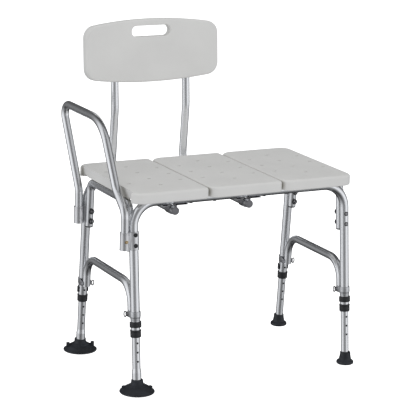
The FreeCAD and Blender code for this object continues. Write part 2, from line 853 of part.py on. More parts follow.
def socket_in(body, label, side_y, radius):
    """A blind hole for the leg's lower end, tilted like the leg."""
    floor = dim("extension_bottom") / COS_SPLAY
    turn = Rotation(X_AXIS, side_y * dim("splay"))
    spot = turn.multVec(Vector(0, 0, floor))
    sketch = sketch_in(body, "XY_Plane", label + "_socket_sketch", Placement(spot, turn))
    circle_in(sketch, "0", "0", "%.3f" % radius)
    doc.recompute()
    before = body.Shape.Volume
    socket = body.newObject("PartDesign::Pocket", label + "_socket")
    socket.Profile = sketch
    socket.Reversed = True
    socket.Length = 40.0
    doc.recompute()
    if body.Shape.Volume > before - 1.0:
        raise RuntimeError(label + " has no socket")


def make_legs():
    for name, side_x, side_y in LEGS:
        leg_extension("leg_extension_" + name, side_x, side_y)
        height_clip("height_clip_" + name, side_x, side_y)
        leg_collar("leg_collar_" + name, side_x, side_y)
    for name, side_y in (("front", -1), ("rear", 1)):
        suction_cup("suction_cup_" + name, side_y)
        rubber_tip("rubber_tip_" + name, side_y)


def make_straps():
    """Saddle straps tie the braces to the legs, each with a wing screw along X."""
    straps = []
    screws = []
    tube = dim("frame_tube") / 2 + 0.05
    sheet_metal = 1.6
    height = dim("strap_width")
    offset = inner_offset() / COS_SPLAY
    for side_x in (-1, 1):
        for side_y in (-1, 1):
            outer = tube + sheet_metal
            back = rod(outer, height, Vector(0, 0, -height / 2), Z_AXIS)
            back = back.common(Part.makeBox(2 * outer, outer, height, Vector(-outer, -outer, -height / 2)))
            reach = offset + 8.0
            flank = Part.makeBox(2 * outer, reach, height, Vector(-outer, 0, -height / 2))
            strap = back.fuse(flank)
            strap = strap.cut(rod(tube, height, Vector(0, 0, -height / 2), Z_AXIS))
            strap = strap.cut(Part.makeBox(2 * tube, reach + 1, height, Vector(-tube, 0, -height / 2)))
            # a rear strap is turned half round, so its wing comes out on the other side
            along = -X_AXIS
            centre = Vector(0, offset, 0)
            hole = rod(3.0, 2 * outer + 4, centre - along * (outer + 2), along)
            strap = strap.cut(hole)
            length = 2 * outer + 4.0
            shank = rod(2.9, length, centre - along * (outer + 3.0), along)
            head = rod(5.5, 4.0, centre + along * (outer + 0.1), along)
            wing = Part.makeBox(7.0, 2.4, 17.0, Vector(-3.5, -1.2, -8.5))
            wing.Placement = Placement(centre + along * (outer + 5.2), Rotation())
            cap_nut = rod(5.0, 3.0, centre - along * (outer + 0.1), -along)
            screw = shank.fuse([head, wing, cap_nut])
            turn = Rotation(Z_AXIS, 0 if side_y < 0 else 180)
            where = leg_frame(side_x, side_y, dim("strap_height")).multiply(Placement(Vector(), turn))
            for piece, group in ((strap, straps), (screw, screws)):
                piece.Placement = where
                group.append(piece)
    feature("brace_straps", Part.makeCompound(straps))
    feature("brace_wing_screws", Part.makeCompound(screws))


# ----------------------------------------------------------------------------------------------
# arm rest
# ----------------------------------------------------------------------------------------------
def make_arm():
    """One bent tube whose two parallel ends drop into sockets beside the left legs."""
    corners = [
        ("-" + cell("arm_front"), cell("arm_bottom")),
        ("-" + cell("arm_front"), cell("arm_knee_low")),
        ("-" + cell("arm_knee_y"), cell("arm_knee_high")),
        ("-" + cell("arm_crest_y"), cell("arm_height")),
        (cell("arm_rear"), cell("arm_height")),
        (cell("arm_rear_foot"), cell("arm_rear_knee")),
        (cell("arm_rear_foot"), cell("arm_bottom")),
    ]
    bends = ["36", "64", "118", "29", "35"]
    body = bent_tube("armrest", corners, bends, "arm_tube")
    arm_x = -dim("leg_span") - dim("arm_offset")
    hole_height = "(%s + %s) / 2" % (cell("socket_bottom"), cell("socket_top"))
    cross_holes(body, "YZ_Plane", [("0", hole_height)], "3.6", "armrest_button_holes")
    keep(body, "armrest", place(arm_x, 0, 0, 0, 90))
    arm_bracket("arm_bracket_front", -1, dim("arm_front"), dim("web_front"))
    arm_bracket("arm_bracket_rear", 1, dim("arm_rear_foot"), dim("web_rear"))


def arm_bracket(label, side_y, socket_y, web_y):
    """A cast double sleeve: one bore round the leg, one upright blind socket for the arm rest."""
    low = dim("socket_bottom")
    high = dim("socket_top")
    length = high - low
    leg_x = -dim("leg_span")
    arm_x = leg_x - dim("arm_offset")
    shell = 2.0
    leg_radius = dim("frame_tube") / 2 + 0.05
    arm_radius = dim("arm_tube") / 2 + dim("slide_gap")
    turn = Rotation(X_AXIS, side_y * dim("splay"))
    along = turn.multVec(Z_AXIS)
    foot = Vector(leg_x, leg_y(side_y, low), low)
    overlength = length / COS_SPLAY + 20
    start = foot - along * 10
    # the leg sleeve leans with the leg, and its ends are level
    level_ends = Part.makeBox(120, 120, length, Vector(leg_x - 80, foot.y - 60, low))
    sleeve = rod(leg_radius + shell, overlength, start, along).common(level_ends)
    socket = rod(arm_radius + shell, length, Vector(arm_x, side_y * socket_y, low), Z_AXIS)
    web = Part.makeBox(dim("arm_offset"), 12.0, length, Vector(arm_x, side_y * web_y - 6.0, low))
    body = socket.fuse([sleeve, web]).removeSplitter()
    body = body.cut(rod(leg_radius, overlength, start, along))
    body = body.cut(rod(arm_radius, length, Vector(arm_x, side_y * socket_y, low + 3.0), Z_AXIS))
    outward = turn.multVec(Vector(0, side_y, 0))
    # the leg sleeve is open on the inner side, where the side rail lies against the leg
    inner_y = 0.0 if side_y < 0 else -20.0
    opening = Part.makeBox(11.0, 20.0, overlength, Vector(-5.5, inner_y, -10.0))
    opening.Placement = Placement(foot, turn)
    body = body.cut(opening)
    for bolt in ("upper_bolt", "lower_bolt"):
        axis = Vector(leg_x, leg_y(side_y, dim(bolt)), dim(bolt))
        body = body.cut(rod(dim("bolt_radius") + 0.05, 60, axis - outward * 30, outward))
    button_y = side_y * (socket_y + arm_radius - 1.0)
    button_z = (low + high) / 2
    body = body.cut(rod(3.3, 6.0, Vector(arm_x, button_y, button_z), Vector(0, side_y, 0)))
    feature(label, body)
    push = Vector(0, side_y, 0)
    button_start = Vector(arm_x, side_y * (socket_y + arm_radius), button_z)
    feature(label.replace("bracket", "button"), push_button(button_start, push))


def push_button(start, outward):
    """A domed button of a spring catch."""
    stem = rod(3.0, 2.3, start, outward)
    dome = Part.makeSphere(3.0, start + outward * 2.3).common(rod(3.0, 1.7, start + outward * 2.3, outward))
    return stem.fuse(dome)


# ----------------------------------------------------------------------------------------------
# back rest
# ----------------------------------------------------------------------------------------------
def back_tube_y(height):
    """Where the upper part of a back tube stands at a height."""
    rise = height - dim("back_kink_z")
    return dim("back_kink_y") + rise * math.tan(math.radians(dim("back_tilt")))


def make_back():
    seat_y = dim("back_seat_y")
    seat_z = dim("back_seat_z")
    lean = (seat_y - dim("back_kink_y")) / (dim("back_kink_z") - seat_z)
    corner_y = seat_y + (seat_z - dim("back_run_height")) * lean
    corners = [
        (cell("back_front"), cell("back_run_height")),
        ("%.3f" % corner_y, cell("back_run_height")),
        (cell("back_kink_y"), cell("back_kink_z")),
        ("%.3f" % back_tube_y(dim("back_tube_end")), cell("back_tube_end")),
    ]
    bends = [cell("back_lower_bend"), cell("back_kink_bend")]
    for name in ("left", "right"):
        body = bent_tube("back_tube_" + name, corners, bends, "back_tube")
        spot = ("%.3f" % leg_y(1, dim("rail_height")), "0")
        cross_holes(body, "XY_Plane", [spot], "3.6", "back_tube_%s_button_hole" % name)
        keep(body, "back_tube_" + name, place(dim("back_" + name), 0, 0, 0, 90))
    plugs = []
    radius = dim("back_tube") / 2
    for name in ("left", "right"):
        face = Vector(dim("back_" + name), dim("back_front"), dim("back_run_height"))
        disc = rod(radius, 3.0, face, -Y_AXIS)
        disc = disc.makeFillet(1.0, [disc.Edges[0]])
        stem = rod(radius - dim("wall") - 0.02, 14.0, face, Y_AXIS)
        plugs.append(disc.fuse(stem))
    feature("back_tube_plugs", Part.makeCompound(plugs))
    back_panel()


def back_panel():
    """A blow-moulded back with bowed edges and a hand slot, on the upper ends of the tubes."""
    width = dim("back_width")
    height = dim("back_panel_height")
    thickness = dim("back_thickness")
    corner = dim("back_corner")
    bow = dim("back_bow")
    half_w = width / 2
    middle_x = (dim("back_left") + dim("back_right")) / 2
    sag = bow - math.sqrt(bow * bow - half_w * half_w)
    # the outline in local X and Z: two bowed edges and two upright sides
    top_mid = Vector(0, 0, height)
    top_left = Vector(-half_w, 0, height - sag)
    top_right = Vector(half_w, 0, height - sag)
    low_mid = Vector(0, 0, 0)
    low_left = Vector(-half_w, 0, sag)
    low_right = Vector(half_w, 0, sag)
    edges = [
        Part.Arc(top_left, top_mid, top_right).toShape(),
        Part.LineSegment(top_right, low_right).toShape(),
        Part.Arc(low_right, low_mid, low_left).toShape(),
        Part.LineSegment(low_left, top_left).toShape(),
    ]
    dish = dim("back_curve") - math.sqrt(dim("back_curve") ** 2 - half_w ** 2)
    depth = thickness + 2 * dish
    slab = Part.Face(Part.Wire(edges)).extrude(Vector(0, depth, 0))
    uprights = []
    for edge in slab.Edges:
        box = edge.BoundBox
        if box.YLength > depth - 0.1 and box.XLength < 0.1 and box.ZLength < 0.1:
            uprights.append(edge)
    slab = slab.makeFillet(corner, uprights)
    slab.translate(Vector(0, -2 * dish, 0))
    # the whole panel is dished in plan, its ends forward of its middle
    pivot = Vector(0, thickness / 2 - dim("back_curve"), -50)
    shell = rod(dim("back_curve") + thickness / 2, height + 100, pivot, Z_AXIS)
    shell = shell.cut(rod(dim("back_curve") - thickness / 2, height + 100, pivot, Z_AXIS))
    slab = slab.common(shell)
    slot_r = dim("slot_height") / 2
    straight = dim("slot_length") / 2 - slot_r
    slot_z = height - 34.5
    reach = 2 * thickness
    slot = Part.makeBox(2 * straight, reach, 2 * slot_r, Vector(-straight, -thickness / 2, slot_z - slot_r))
    for side in (-1, 1):
        slot = slot.fuse(rod(slot_r, reach, Vector(side * straight, -thickness / 2, slot_z), Y_AXIS))
    faces = [edge for edge in slab.Edges if edge.BoundBox.YLength < thickness - 5.0]
    slab = slab.makeFillet(6.0, faces)
    slab = slab.cut(slot.removeSplitter())
    mouths = []
    for edge in slab.Edges:
        box = edge.BoundBox
        inside = box.ZMin > slot_z - slot_r - 0.1 and box.ZMax < slot_z + slot_r + 0.1
        near = abs(box.XMin) < half_w / 2 and abs(box.XMax) < half_w / 2
        if box.YLength < thickness / 3 and inside and near:
            mouths.append(edge)
    slab = slab.makeFillet(3.0, mouths)
    # the moulding is hollow beside the tubes and below the hand slot
    wall = dim("shell_wall")
    depth = thickness - 3 * wall
    tube_x = (dim("back_right") - dim("back_left")) / 2
    tube_dish = dim("back_curve") - math.sqrt(dim("back_curve") ** 2 - tube_x ** 2)
    tube_room = dim("back_tube") / 2 + wall
    inner_x = tube_x - tube_room
    low = sag + wall
    chest = Part.makeBox(2 * inner_x, depth, slot_z - slot_r - 2 * wall - low, Vector(-inner_x, wall, low))
    slab = slab.cut(chest)
    outer_x = tube_x + tube_room
    side_width = half_w - 3 * wall - outer_x
    side_height = height - 2 * sag - 2 * corner
    side_y = 1.5 * wall - 2 * tube_dish
    for start_x in (outer_x, -outer_x - side_width):
        slab = slab.cut(Part.makeBox(side_width, depth, side_height, Vector(start_x, side_y, sag + corner)))
    tilt = Rotation(X_AXIS, -dim("back_tilt"))
    mid_y = back_tube_y(dim("back_bottom"))
    where = Placement(Vector(middle_x, mid_y, dim("back_bottom")), tilt)
    where = where.multiply(Placement(Vector(0, tube_dish - thickness / 2, 0), Rotation()))
    slab.Placement = where
    screws = []
    for name in ("left", "right"):
        tube_end = dim("back_tube_end")
        foot = Vector(dim("back_" + name), back_tube_y(tube_end), tube_end)
        along = Vector(0, math.tan(math.radians(dim("back_tilt"))), 1).normalize()
        slab = slab.cut(rod(dim("back_tube") / 2 + 0.02, 240, foot + along * 0.3, -along))
        for height_up in (40.0, 95.0):
            level = dim("back_bottom") + height_up
            spot = Vector(dim("back_" + name), back_tube_y(level), level)
            behind = Vector(0, 1, -math.tan(math.radians(dim("back_tilt")))).normalize()
            head = rod(5.0, 2.4, spot + behind * (thickness / 2), behind)
            shank = rod(SCREW_SHANK, thickness / 2 + 4.0, spot + behind * (thickness / 2), -behind)
            screws.append(head.fuse(shank))
    feature("back_panel", slab)
    feature("back_panel_screws", Part.makeCompound(screws))


def make_back_brackets():
    """Strap brackets under both rails carry the back tubes, which slide out to the rear."""
    radius = dim("back_tube") / 2 + dim("slide_gap")
    shell = 2.0
    outer = radius + shell
    width = 24.0
    run = dim("back_run_height")
    rail_foot = dim("rail_height") - dim("frame_tube") / 2 - 0.1
    left_ear = 12.0
    right_ear = 34.0
    ear_sheet = 1.2
    screws = []
    for label, side_y in (("front", -1), ("rear", 1)):
        middle = leg_y(side_y, dim("rail_height"))
        brackets = []
        for name in ("left", "right"):
            x = dim("back_" + name)
            start = Vector(x, middle - width / 2, run)
            cradle = rod(outer, width, start, Y_AXIS)
            cradle = cradle.common(Part.makeBox(2 * outer, width, outer, start - Vector(outer, 0, outer)))
            walls = Part.makeBox(2 * outer, width, rail_foot - run, start - Vector(outer, 0, 0))
            ear_start = Vector(x - outer - left_ear, start.y, rail_foot - ear_sheet)
            ears = Part.makeBox(left_ear + 2 * outer + right_ear, width, ear_sheet, ear_start)
            shape = cradle.fuse([walls, ears])
            shape = shape.cut(rod(radius, width, start, Y_AXIS))
            shape = shape.cut(Part.makeBox(2 * radius, width, outer + shell, start - Vector(radius, 0, 0)))
            if side_y > 0:
                shape = shape.cut(rod(3.3, 8.0, Vector(x, middle, run - radius + 1.0), -Z_AXIS))
                button = push_button(Vector(x, middle, run - radius), -Z_AXIS)
                feature("back_button_" + name, button)
            brackets.append(shape)
            for screw_x in (x - outer - left_ear / 2, x + outer + right_ear / 2):
                foot = Vector(screw_x, middle, rail_foot - ear_sheet)
                head = rod(SCREW_HEAD, SCREW_RISE, foot, -Z_AXIS)
                shank = rod(SCREW_SHANK, 10.0, foot, Z_AXIS)
                screws.append(head.fuse(shank))
        feature("back_brackets_" + label, Part.makeCompound(brackets))
    feature("back_bracket_screws", Part.makeCompound(screws))


def make_side_rail_plugs():
    """Plastic plugs close the lower ends of the side rails."""
    plugs = []
    radius = dim("small_tube") / 2
    height = dim("side_rail_bottom")
    for side_x in (-1, 1):
        for side_y in (-1, 1):
            inner_y = side_y * (abs(leg_y(1, height)) - inner_offset() / COS_SPLAY)
            turn = Rotation(X_AXIS, side_y * dim("splay"))
            down = turn.multVec(-Z_AXIS)
            face = Vector(side_x * dim("leg_span"), inner_y, height)
            cap = rod(radius, 2.2, face, down)
            stem = rod(radius - dim("wall") - 0.05, 9.0, face, -down)
            plugs.append(cap.fuse(stem))
    feature("side_rail_plugs", Part.makeCompound(plugs))


# ----------------------------------------------------------------------------------------------
# build, check and write
# ----------------------------------------------------------------------------------------------
make_seat()
make_frames()
make_side_rails()
drill_side_rails()
make_fasteners()
make_braces()
make_straps()
make_legs()
make_arm()
make_back()
make_back_brackets()
make_side_rail_plugs()
doc.recompute()

for item in doc.Objects:
    if "Invalid" in item.State or "Error" in item.State:
        raise RuntimeError("%s failed: %s" % (item.Name, item.State))

for item in PARTS:
    if item.Shape.isNull() or not item.Shape.isValid():
        raise RuntimeError(item.Label + " has no valid shape")


def exact_box():
    box = FreeCAD.BoundBox()
    for item in PARTS:
        box.add(item.Shape.optimalBoundingBox(False, False))
    return box


# the origin is on the floor, in the middle of the bench's box
box = exact_box()
to_middle = Vector(-box.Center.x, -box.Center.y, -box.ZMin)
for item in PARTS:
    item.Placement = Placement(to_middle, Rotation()).multiply(item.Placement)
doc.recompute()

os.makedirs("parts", exist_ok=True)
for item in PARTS:
    item.Shape.exportStep("parts/%s.step" % item.Label)
    print("%-28s solids %2d  volume %10.0f" % (item.Label, len(item.Shape.Solids), item.Shape.Volume))
print("moved to the middle by", to_middle)
print("box", exact_box())
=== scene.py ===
"""Looks, light and camera of the bath transfer bench."""
import bpy
import bmesh
import json
import math
from mathutils import Matrix, Vector


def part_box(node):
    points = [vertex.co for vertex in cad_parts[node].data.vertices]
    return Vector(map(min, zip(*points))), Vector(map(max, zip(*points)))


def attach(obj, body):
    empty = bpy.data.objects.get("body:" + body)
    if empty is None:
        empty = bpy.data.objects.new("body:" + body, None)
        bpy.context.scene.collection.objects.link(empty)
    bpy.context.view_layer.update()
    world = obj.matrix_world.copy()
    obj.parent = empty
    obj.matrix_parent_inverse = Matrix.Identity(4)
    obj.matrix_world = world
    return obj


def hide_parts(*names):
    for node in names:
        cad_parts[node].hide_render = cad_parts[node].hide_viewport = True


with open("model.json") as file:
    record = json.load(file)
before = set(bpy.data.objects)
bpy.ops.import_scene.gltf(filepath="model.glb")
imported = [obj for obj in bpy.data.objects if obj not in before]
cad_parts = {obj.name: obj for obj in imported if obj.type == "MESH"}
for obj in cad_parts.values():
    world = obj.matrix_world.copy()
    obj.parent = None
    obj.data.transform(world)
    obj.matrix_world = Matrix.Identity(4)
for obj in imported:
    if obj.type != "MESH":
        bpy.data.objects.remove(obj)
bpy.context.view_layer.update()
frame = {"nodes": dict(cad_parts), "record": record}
NODES = frame["nodes"]
SCENE = bpy.context.scene

MM = 0.001
SPLAY = math.radians(5.0)


# ---------------------------------------------------------------------------------------------
# materials
# ---------------------------------------------------------------------------------------------
class Material:
    """A Principled material with small helpers for its procedural nodes."""

    def __init__(self, name, color, roughness, metallic=0.0):
        self.data = bpy.data.materials.new(name)
        self.data.use_nodes = True
        self.tree = self.data.node_tree
        self.shader = self.tree.nodes["Principled BSDF"]
        self.shader.inputs["Base Color"].default_value = (*color, 1.0)
        self.shader.inputs["Roughness"].default_value = roughness
        self.shader.inputs["Metallic"].default_value = metallic
        self.coords = self.tree.nodes.new("ShaderNodeTexCoord").outputs["Object"]
        self.color = color
        self.bump_chain = None

    def node(self, kind, **settings):
        item = self.tree.nodes.new(kind)
        for key, setting in settings.items():
            if key in item.inputs:
                item.inputs[key].default_value = setting
            else:
                setattr(item, key, setting)
        return item

    def link(self, a, b):
        self.tree.links.new(a, b)

    def noise(self, scale, detail=2.0, stretch=None):
        item = self.node("ShaderNodeTexNoise", Scale=scale, Detail=detail)
        source = self.coords
        if stretch is not None:
            mapping = self.node("ShaderNodeMapping")
            mapping.inputs["Scale"].default_value = stretch
            self.link(source, mapping.inputs["Vector"])
            source = mapping.outputs["Vector"]
        self.link(source, item.inputs["Vector"])
        return item.outputs["Fac"]

    def remap(self, fac, low, high, out_low, out_high):
        limits = {"From Min": low, "From Max": high, "To Min": out_low, "To Max": out_high}
        item = self.node("ShaderNodeMapRange", **limits)
        self.link(fac, item.inputs["Value"])
        return item.outputs["Result"]

    def tint(self, fac, dark, light):
        """Blend the base colour between two colours and return the blend."""
        item = self.node("ShaderNodeMix", data_type="RGBA")
        item.inputs["A"].default_value = (*dark, 1.0)
        item.inputs["B"].default_value = (*light, 1.0)
        self.link(fac, item.inputs["Factor"])
        self.link(item.outputs["Result"], self.shader.inputs["Base Color"])
        return item.outputs["Result"]

    def paint_crevice_shade(self, unshaded, color, reach):
        """Paint shade into seams and holes narrower than about the reach (m): an occlusion mask blends
        towards the given dark colour.
        """
        crevice = self.node("ShaderNodeAmbientOcclusion", Distance=reach)
        item = self.node("ShaderNodeMix", data_type="RGBA")
        item.inputs["A"].default_value = (*color, 1.0)
        self.link(self.remap(crevice.outputs["AO"], 0.25, 0.85, 0.0, 1.0), item.inputs["Factor"])
        self.link(unshaded, item.inputs["B"])
        self.link(item.outputs["Result"], self.shader.inputs["Base Color"])

    def rough(self, fac, low, high):
        self.link(self.remap(fac, 0.3, 0.7, low, high), self.shader.inputs["Roughness"])

    def bump(self, height, strength, distance):
        item = self.node("ShaderNodeBump", Strength=strength, Distance=distance)
        self.link(height, item.inputs["Height"])
        if self.bump_chain is not None:
            self.link(self.bump_chain, item.inputs["Normal"])
        self.bump_chain = item.outputs["Normal"]
        self.link(self.bump_chain, self.shader.inputs["Normal"])


def shade(color, factor):
    return tuple(channel * factor for channel in color)


def seat_plastic():
    """Blow-moulded polyethylene: pale warm grey with a fine pebbled skin."""
    made = Material("seat_plastic", (0.79, 0.785, 0.765), 0.5)
    cloud = made.noise(9.0, 3.0)
    fine = made.noise(420.0)
    base = made.color
    mottle = made.tint(made.remap(cloud, 0.35, 0.65, 0.0, 1.0), shade(base, 0.98), shade(base, 1.02))
    # painted shade: a dark warm colour in seams, gaps and drains, from ambient occlusion within 20 mm
    made.paint_crevice_shade(mottle, (0.26, 0.245, 0.20), 0.02)
    made.rough(fine, 0.44, 0.6)
    made.bump(made.noise(26.0), 0.12, 0.0006)
    pebble = made.node("ShaderNodeTexVoronoi", Scale=900.0)
    made.link(made.coords, pebble.inputs["Vector"])
    made.bump(pebble.outputs["Distance"], 0.22, 0.0002)
    made.bump(fine, 0.15, 0.0003)
    return made.data


def tube_metal():
    """Satin anodised aluminium tube."""
    made = Material("anodised_tube", (0.88, 0.89, 0.91), 0.25, 1.0)
    smear = made.noise(7.0)
    base = made.color
    made.tint(made.remap(smear, 0.3, 0.7, 0.0, 1.0), shade(base, 0.98), shade(base, 1.02))
    made.rough(smear, 0.235, 0.26)
    return made.data


def cast_metal():
    """Clear-coated die casting, a little rougher than the tubes."""
    made = Material("cast_metal", (0.86, 0.865, 0.88), 0.34, 1.0)
    grain = made.noise(500.0)
    made.tint(made.noise(40.0), shade(made.color, 0.94), shade(made.color, 1.04))
    made.rough(grain, 0.31, 0.38)
    made.bump(grain, 0.05, 0.0001)
    return made.data


def plated_steel(name, color, low, high):
    """Plated steel with a faint vertical grain; low and high bound its roughness."""
    made = Material(name, color, (low + high) / 2, 1.0)
    grain = made.noise(300.0, 3.0, (1.0, 1.0, 6.0))
    made.tint(made.noise(60.0), shade(color, 0.86), shade(color, 1.06))
    made.rough(grain, low, high)
    made.bump(grain, 0.06, 0.0002)
    return made.data


def moulded_plastic(name, color):
    """Injection-moulded plastic with a fine grain."""
    made = Material(name, color, 0.42)
    grain = made.noise(700.0)
    made.tint(made.noise(50.0), shade(made.color, 0.8), shade(made.color, 1.5))
    made.rough(grain, 0.36, 0.52)
    made.bump(grain, 0.18, 0.0002)
    return made.data


def black_rubber():
    """Moulded rubber, a little dusty."""
    made = Material("black_rubber", (0.017, 0.020, 0.026), 0.5)
    grain = made.noise(500.0)
    dust = made.noise(35.0, 4.0)
    made.tint(made.remap(dust, 0.4, 0.75, 0.0, 1.0), shade(made.color, 0.85), shade(made.color, 1.7))
    made.rough(dust, 0.42, 0.66)
    made.bump(grain, 0.2, 0.0002)
    return made.data


def button_metal():
    """Tarnished brass."""
    made = Material("button_brass", (0.62, 0.47, 0.27), 0.32, 1.0)
    grain = made.noise(400.0)
    made.tint(grain, shade(made.color, 0.75), shade(made.color, 1.1))
    made.rough(grain, 0.25, 0.42)
    made.bump(grain, 0.08, 0.0002)
    return made.data


MATERIALS = {
    "seat_plastic": seat_plastic(),
    "tube": tube_metal(),
    "cast_metal": cast_metal(),
    "strap_steel": plated_steel("strap_steel", (0.7, 0.71, 0.73), 0.26, 0.4),
    "screw_steel": plated_steel("screw_steel", (0.46, 0.46, 0.48), 0.25, 0.4),
    "dark_steel": plated_steel("dark_steel", (0.13, 0.13, 0.14), 0.3, 0.45),
    "black_plastic": moulded_plastic("black_plastic", (0.016, 0.017, 0.019)),
    "grey_plastic": moulded_plastic("grey_plastic", (0.15, 0.15, 0.16)),
    "black_rubber": black_rubber(),
    "button_brass": button_metal(),
}
SLOT_OF = {entry["node"]: entry["material_slot"] for entry in frame["record"]["subparts"]}

# the fixings in the seat's shadow get the darker screw steel rather than their own slot's material: painted
# shade
SEAT_SHADOW_NODES = ("back_brackets_front", "back_brackets_rear", "back_bracket_screws")

# fixings in the seat's shadow take screw steel as painted shade
for node_name, node_item in NODES.items():
    look = "screw_steel" if node_name in SEAT_SHADOW_NODES else SLOT_OF[node_name]
    node_item.data.materials.clear()
    node_item.data.materials.append(MATERIALS[look])


# ---------------------------------------------------------------------------------------------
# mesh helpers: shapes are drawn in millimetres and placed by a matrix in metres
# ---------------------------------------------------------------------------------------------
def soften(points, steps=5):
    """Round the corners of a closed outline; a point's third number is its corner radius."""
    result = []
    count = len(points)
    for index, point in enumerate(points):
        corner = Vector(point[:2])
        radius = point[2] if len(point) > 2 else 0.0
        if radius <= 0.0:
            result.append(corner)
            continue
        before = Vector(points[index - 1][:2]) - corner
        after = Vector(points[(index + 1) % count][:2]) - corner
        reach = min(radius, before.length / 2, after.length / 2)
        first = corner + before.normalized() * reach
        last = corner + after.normalized() * reach
        for step in range(steps + 1):
            t = step / steps
            result.append(first.lerp(corner, t).lerp(corner.lerp(last, t), t))
    return result


class Builder:
    """Gathers shapes of one material into one mesh."""

    def __init__(self):
        self.bm = bmesh.new()

    def lathe(self, points, where, turns=(0.0, 360.0), steps=64):
        """Turn an outline of (radius, height) about the local Z."""
        outline = soften(points)
        whole = turns[1] - turns[0] > 359.9
        count = steps if whole else steps + 1
        rings = []
        for step in range(count):
            angle = math.radians(turns[0] + (turns[1] - turns[0]) * step / steps)
            ring = []
            for point in outline:
                spot = Vector((point[0] * math.cos(angle), point[0] * math.sin(angle), point[1])) * MM
                ring.append(self.bm.verts.new(where @ spot))
            rings.append(ring)
        last = len(outline) - 1
        for ring, after in zip(rings, rings[1:] + rings[:1] if whole else rings[1:]):
            for low in range(len(outline)):
                high = (low + 1) % len(outline)
                if low == last and outline[low][0] < 1e-6 and outline[high][0] < 1e-6:
                    continue
                self.bm.faces.new((ring[low], ring[high], after[high], after[low]))
        if not whole:
            self.bm.faces.new(rings[0])
            self.bm.faces.new(rings[-1][::-1])

    def prism(self, outline, low, high, where, bevel=0.0, segments=2):
        """Extrude a closed outline along the local Z, with its end edges rounded."""
        layers = [(low, 0.0), (high, 0.0)]
        if bevel > 0.0:
            layers = []
            for step in range(segments + 1):
                turn = math.pi / 2 * step / segments
                layers.append((low + bevel * (1 - math.sin(turn)), bevel * (1 - math.cos(turn))))
            layers = layers[::-1]
            layers += [(low + high - level, inset) for level, inset in layers[::-1]]
        rows = []
        for level, inset in layers:
            row = []
            for spot in self.inset(outline, inset):
                row.append(self.bm.verts.new(where @ (Vector((spot[0], spot[1], level)) * MM)))
            rows.append(row)
        for row, after in zip(rows, rows[1:]):
            for index in range(len(row)):
                step = (index + 1) % len(row)
                self.bm.faces.new((row[index], row[step], after[step], after[index]))
        self.bm.faces.new(rows[0][::-1])
        self.bm.faces.new(rows[-1])

    @staticmethod
    def inset(outline, amount):
        """Move every side of an anticlockwise outline inward."""
        spots = [Vector(point[:2]) for point in outline]
        if amount == 0.0:
            return spots
        result = []
        for index, spot in enumerate(spots):
            before = (spot - spots[index - 1]).normalized()
            after = (spots[(index + 1) % len(spots)] - spot).normalized()
            way = before + after
            inward = Vector((-way.y, way.x)).normalized()
            lean = max(0.35, inward.dot(Vector((-after.y, after.x))))
            result.append(spot + inward * amount / lean)
        return result

    def wire(self, path, radius, where, steps=12):
        """Sweep a round wire along a closed path of local points."""
        spots = [Vector(point) for point in path]
        rows = []
        side = None
        for index, spot in enumerate(spots):
            way = (spots[(index + 1) % len(spots)] - spots[index - 1]).normalized()
            side = way.orthogonal() if side is None else side - way * side.dot(way)
            side.normalize()
            other = way.cross(side)
            row = []
            for step in range(steps):
                angle = 2 * math.pi * step / steps
                rim = spot + side * math.cos(angle) * radius + other * math.sin(angle) * radius
                row.append(self.bm.verts.new(where @ (rim * MM)))
            rows.append(row)
        for row, after in zip(rows, rows[1:] + rows[:1]):
            for index in range(steps):
                step = (index + 1) % steps
                self.bm.faces.new((row[index], row[step], after[step], after[index]))

    def piece(self, name, slot, body, nodes=(), finish=None):
        """Finish the mesh as a piece that rides on a body and may stand for CAD nodes.

        The finish names another material when the slot's own doesn't suit the piece.
        """
        bmesh.ops.remove_doubles(self.bm, verts=self.bm.verts, dist=1e-6)
        bmesh.ops.recalc_face_normals(self.bm, faces=self.bm.faces)
        mesh = bpy.data.meshes.new(name)
        self.bm.to_mesh(mesh)
        self.bm.free()
        for polygon in mesh.polygons:
            polygon.use_smooth = True
        mesh.set_sharp_from_angle(angle=math.radians(40))
        item = bpy.data.objects.new(name, mesh)
        SCENE.collection.objects.link(item)
        mesh.materials.append(MATERIALS[finish or slot])
        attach(item, body)
        if nodes:
            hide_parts(*nodes)
        return item


def box_middle(node):
    low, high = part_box(node)
    return (Vector(low) + Vector(high)) / 2


def shift(x=0.0, y=0.0, z=0.0):
    """A move in millimetres."""
    return Matrix.Translation(Vector((x, y, z)) * MM)


def turned(degrees, axis):
    return Matrix.Rotation(math.radians(degrees), 4, axis)


# ---------------------------------------------------------------------------------------------
# legs
# ---------------------------------------------------------------------------------------------
LEGS = (
    ("front_left", -1, -1),
    ("front_right", 1, -1),
    ("rear_left", -1, 1),
    ("rear_right", 1, 1),
)
# radii of the leg tube and of the tubes inside the legs, and how far apart their axes stand
TUBE = 12.7
INNER_TUBE = 11.1
INNER_OFFSET = 24.15
# heights above the floor
CLIP_HEIGHT = 187.4
STRAP_HEIGHT = 213.0
RAIL_END_HEIGHT = 384.8
BOLT_HEIGHTS = (432.0, 403.0)
# ends of the dark sleeve that paints the shade inside the drilled legs
BORE_SHADE_BOTTOM, BORE_SHADE_TOP = 70.0, 226.0
# an outer leg with the arm bracket round it has its bolt heads this much further out
BRACKET_WALL = 2.0
# from the arm rest's axis to the middle of its spring buttons
BUTTON_REACH = 13.4
# the suction cups' pull tabs: how far they are turned, how far they lean outward, how high they reach
PULL_TABS = {"front": (-22.0, 16.0, 18.5), "rear": (-14.0, 0.0, 24.4)}


def leg_frame(name, side_y, height):
    """The leg's axis at a height in millimetres, with local Z along the leg."""
    middle = box_middle("leg_collar_" + name)
    rise = height * MM - middle.z
    spot = Vector((middle.x, middle.y - side_y * rise * math.tan(SPLAY), height * MM))
    return Matrix.Translation(spot) @ Matrix.Rotation(side_y * SPLAY, 4, "X")


